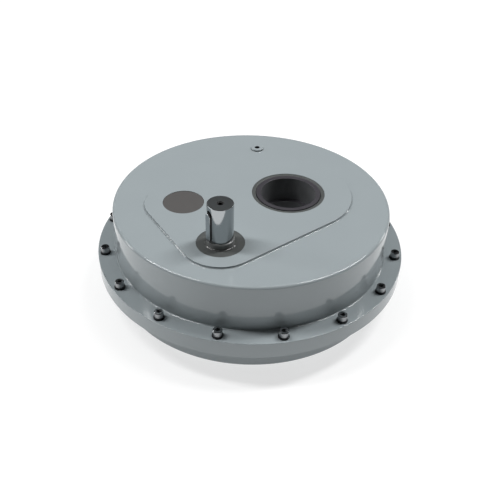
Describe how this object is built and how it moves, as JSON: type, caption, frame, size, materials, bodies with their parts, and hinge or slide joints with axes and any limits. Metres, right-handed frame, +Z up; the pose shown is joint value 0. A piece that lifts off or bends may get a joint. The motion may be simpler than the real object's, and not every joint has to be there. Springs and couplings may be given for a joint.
{
  "type": "shaft-mounted gear reducer",
  "caption": "Round flanged gear reducer with an offset keyed input shaft and a hollow output shaft, two gear stages inside.",
  "frame": {"origin": "on the housing's centre line, at the underside of the base platform", "axes": "+Z up along the shafts, +X from the intermediate axis to the output axis, +Y towards the filler plug"},
  "size_m": [0.36, 0.36, 0.1612],
  "materials": {
    "housing_paint": "grey enamel on cast iron",
    "bright_steel": "ground steel",
    "gear_steel": "hobbed and hardened steel",
    "black_steel": "black oxide",
    "seal_rubber": "nitrile rubber",
    "cage_brass": "machined"
  },
  "bodies": {
    "housing": {"upper_case": "housing_paint", "lower_case": "housing_paint", "case_o_ring": "seal_rubber", "case_dowels": "bright_steel", "flange_screws": "black_steel", "spring_washers": "black_steel", "flat_washers": "black_steel", "filler_plug": "housing_paint", "filler_plug_washer": "seal_rubber", "drain_plug": "black_steel", "level_plug": "black_steel", "input_seal": "seal_rubber", "input_top_bearing_outer_ring": "bright_steel", "input_low_bearing_outer_ring": "bright_steel", "intermediate_circlip": "black_steel", "intermediate_cap": "seal_rubber", "intermediate_top_bearing_outer_ring": "bright_steel", "intermediate_low_bearing_outer_ring": "bright_steel", "output_top_seal": "seal_rubber", "output_low_seal": "seal_rubber", "output_top_bearing_outer_ring": "bright_steel", "output_low_bearing_outer_ring": "bright_steel"},
    "input": {"input_pinion_shaft": "bright_steel", "input_key": "bright_steel", "input_top_bearing_inner_ring": "bright_steel", "input_low_bearing_inner_ring": "bright_steel"},
    "intermediate": {"intermediate_pinion_shaft": "gear_steel", "intermediate_wheel": "gear_steel", "intermediate_key": "bright_steel", "intermediate_spacer": "bright_steel", "intermediate_top_bearing_inner_ring": "bright_steel", "intermediate_low_bearing_inner_ring": "bright_steel"},
    "output": {"output_hollow_shaft": "black_steel", "output_wheel": "gear_steel", "output_key": "bright_steel", "output_spacer": "bright_steel", "output_top_bearing_inner_ring": "bright_steel", "output_low_bearing_inner_ring": "bright_steel"},
    "input_top_cage": {"input_top_bearing_balls": "bright_steel", "input_top_bearing_cage": "cage_brass"},
    "input_low_cage": {"input_low_bearing_balls": "bright_steel", "input_low_bearing_cage": "cage_brass"},
    "intermediate_cages": {"intermediate_top_bearing_balls": "bright_steel", "intermediate_top_bearing_cage": "cage_brass", "intermediate_low_bearing_balls": "bright_steel", "intermediate_low_bearing_cage": "cage_brass"},
    "output_cages": {"output_top_bearing_balls": "bright_steel", "output_top_bearing_cage": "cage_brass", "output_low_bearing_balls": "bright_steel", "output_low_bearing_cage": "cage_brass"}
  },
  "joints": [
    {"name": "output_spin", "type": "hinge", "parent": "housing", "child": "output", "pos_m": [0.0445, 0.0035, 0.056], "axis": [0, 0, 1], "continuous": true},
    {"name": "intermediate_spin", "type": "hinge", "parent": "housing", "child": "intermediate", "pos_m": [-0.0785, 0.0035, 0.056], "axis": [0, 0, 1], "continuous": true},
    {"name": "input_spin", "type": "hinge", "parent": "housing", "child": "input", "pos_m": [-0.04956, -0.0796, 0.056], "axis": [0, 0, 1], "continuous": true},
    {"name": "output_cage_spin", "type": "hinge", "parent": "housing", "child": "output_cages", "pos_m": [0.0445, 0.0035, 0.056], "axis": [0, 0, 1], "continuous": true},
    {"name": "intermediate_cage_spin", "type": "hinge", "parent": "housing", "child": "intermediate_cages", "pos_m": [-0.0785, 0.0035, 0.056], "axis": [0, 0, 1], "continuous": true},
    {"name": "input_top_cage_spin", "type": "hinge", "parent": "housing", "child": "input_top_cage", "pos_m": [-0.04956, -0.0796, 0.056], "axis": [0, 0, 1], "continuous": true},
    {"name": "input_low_cage_spin", "type": "hinge", "parent": "housing", "child": "input_low_cage", "pos_m": [-0.04956, -0.0796, 0.056], "axis": [0, 0, 1], "continuous": true}
  ],
  "couplings": [
    {"joint": "intermediate_spin", "follows": "output_spin", "ratio": -3.8235},
    {"joint": "input_spin", "follows": "output_spin", "ratio": 12.199},
    {"joint": "output_cage_spin", "follows": "output_spin", "ratio": 0.45},
    {"joint": "intermediate_cage_spin", "follows": "output_spin", "ratio": -1.4495},
    {"joint": "input_top_cage_spin", "follows": "output_spin", "ratio": 5.0231},
    {"joint": "input_low_cage_spin", "follows": "output_spin", "ratio": 4.6246}
  ]
}
